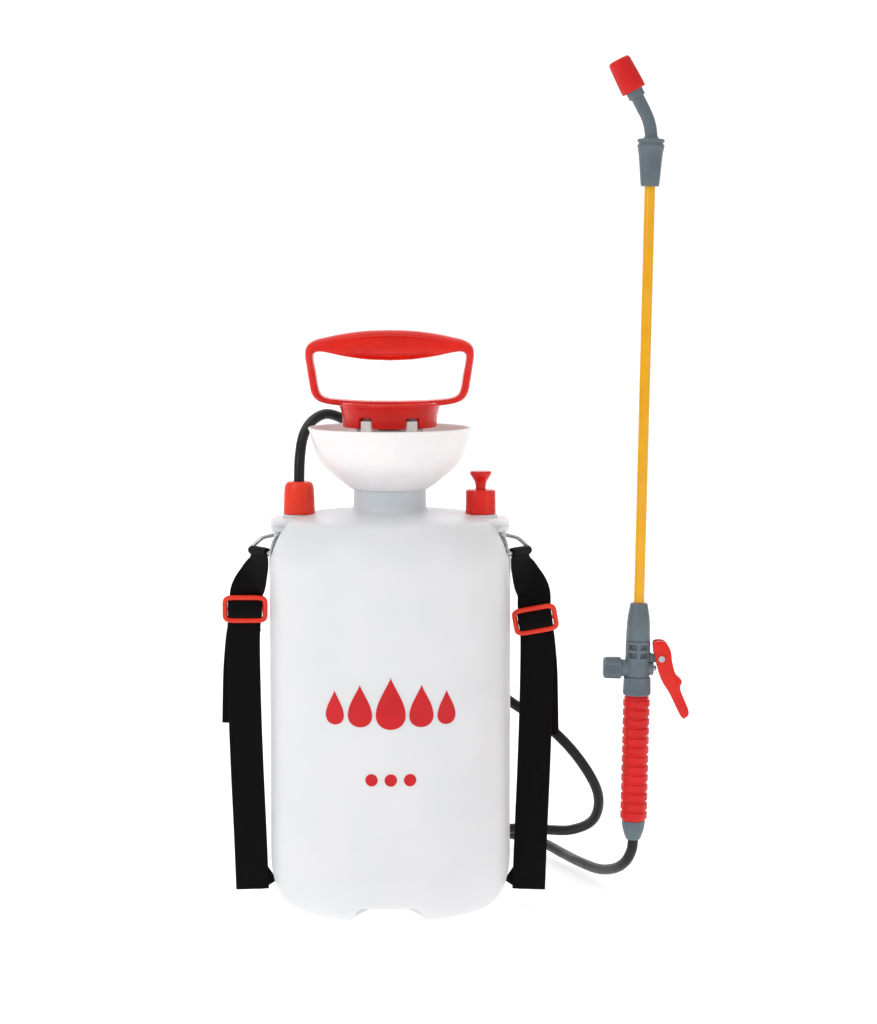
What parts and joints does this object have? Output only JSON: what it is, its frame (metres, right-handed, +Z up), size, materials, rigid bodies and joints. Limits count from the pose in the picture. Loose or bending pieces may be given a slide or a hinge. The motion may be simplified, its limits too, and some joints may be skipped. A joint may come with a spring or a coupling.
{
  "type": "pump sprayer",
  "caption": "Compression pump sprayer: milky round tank with filling funnel, red D-handle hand pump, relief valve, black hose, trigger wand with angled nozzle, and webbing straps.",
  "frame": {"origin": "middle of the flat base, on the tank axis at floor level", "axes": "+Z up along the tank axis, +X towards the wand, -Y to the front"},
  "size_m": [0.3524, 0.3114, 0.6328],
  "materials": {
    "tank_plastic": "satin, milky",
    "funnel_plastic": "satin",
    "white_plastic": "satin",
    "red_plastic": "moulded, glossy",
    "orange_plastic": "moulded, glossy",
    "grip_plastic": "moulded, semi gloss",
    "grey_plastic": "moulded, semi gloss",
    "lance_plastic": "extruded, glossy",
    "hose_rubber": "satin",
    "seal_rubber": "matte",
    "webbing": "woven",
    "steel": "drawn",
    "brass": "turned"
  },
  "bodies": {
    "tank": {"tank": "tank_plastic", "funnel": "funnel_plastic", "relief_cap": "red_plastic", "relief_spring": "steel", "outlet_fitting": "grey_plastic", "gland_nut": "orange_plastic", "outlet_gasket": "seal_rubber", "dip_tube": "white_plastic", "dip_filter": "grey_plastic", "hose": "hose_rubber", "strap_left": "webbing", "strap_right": "webbing", "slider_left": "orange_plastic", "slider_right": "orange_plastic", "strap_ring_left": "steel", "strap_ring_right": "steel"},
    "gasket": {"neck_gasket": "seal_rubber"},
    "pump": {"pump_collar": "white_plastic", "pump_cylinder": "white_plastic", "rod_guide": "grey_plastic", "check_valve": "seal_rubber"},
    "plunger": {"piston_rod": "steel", "piston": "white_plastic", "piston_ring": "seal_rubber", "pump_handle": "red_plastic"},
    "relief": {"relief_knob": "red_plastic", "relief_seal": "seal_rubber"},
    "wand": {"hose_nut": "grey_plastic", "grip": "grip_plastic", "grip_filter": "white_plastic", "grip_nut": "grey_plastic", "valve_body": "grey_plastic", "trigger_pin": "steel", "valve_spring": "steel", "stem_seal": "seal_rubber", "side_cap": "grey_plastic", "side_cap_seal": "seal_rubber", "lance_nut_lower": "grey_plastic", "lance_seal_lower": "seal_rubber", "lance_tube": "lance_plastic", "lance_nut_upper": "grey_plastic", "lance_seal_upper": "seal_rubber"},
    "trigger": {"trigger": "orange_plastic"},
    "stem": {"valve_stem": "steel"},
    "elbow": {"elbow": "grey_plastic", "nozzle_core": "brass", "nozzle_seal": "seal_rubber"},
    "nozzle": {"nozzle_cap": "grip_plastic"}
  },
  "joints": [
    {"name": "pump_out", "type": "slide", "parent": "tank", "child": "gasket", "axis": [0, 0, 1], "range_m": [0, 0.262]},
    {"name": "pump_unscrew", "type": "hinge", "parent": "gasket", "child": "pump", "pos_m": [0, 0, 0.318], "axis": [0, 0, 1], "range_deg": [0, 540]},
    {"name": "pump_stroke", "type": "slide", "parent": "pump", "child": "plunger", "axis": [0, 0, 1], "range_m": [0, 0.15]},
    {"name": "relief_pull", "type": "slide", "parent": "tank", "child": "relief", "axis": [0, 0, 1], "range_m": [0, 0.0035], "stiffness_N_per_m": 150, "springref_m": -0.004, "deforming": ["relief_spring"]},
    {"name": "wand_lift", "type": "slide", "parent": "tank", "child": "wand", "axis": [0, 0, 1], "range_m": [0, 0.12]},
    {"name": "trigger_squeeze", "type": "hinge", "parent": "wand", "child": "trigger", "pos_m": [0.20405, 0, 0.18366], "axis": [0, 1, 0], "range_deg": [0, 18], "stiffness_Nm_per_rad": 0.1, "springref_deg": -11.46},
    {"name": "stem_push", "type": "slide", "parent": "wand", "child": "stem", "axis": [-0.9998, 0, 0.0183], "range_m": [0, 0.0026], "deforming": ["valve_spring"]},
    {"name": "elbow_turn", "type": "hinge", "parent": "wand", "child": "elbow", "pos_m": [0.19338, 0, 0.55631], "axis": [0.0183, 0, 0.9998], "range_deg": [-180, 180]},
    {"name": "nozzle_twist", "type": "hinge", "parent": "elbow", "child": "nozzle", "pos_m": [0.18916, 0, 0.5905], "axis": [-0.461, 0, 0.8874], "range_deg": [0, 540]}
  ],
  "couplings": [
    {"joint": "stem_push", "follows": "trigger_squeeze", "m_per_rad": 0.008}
  ]
}
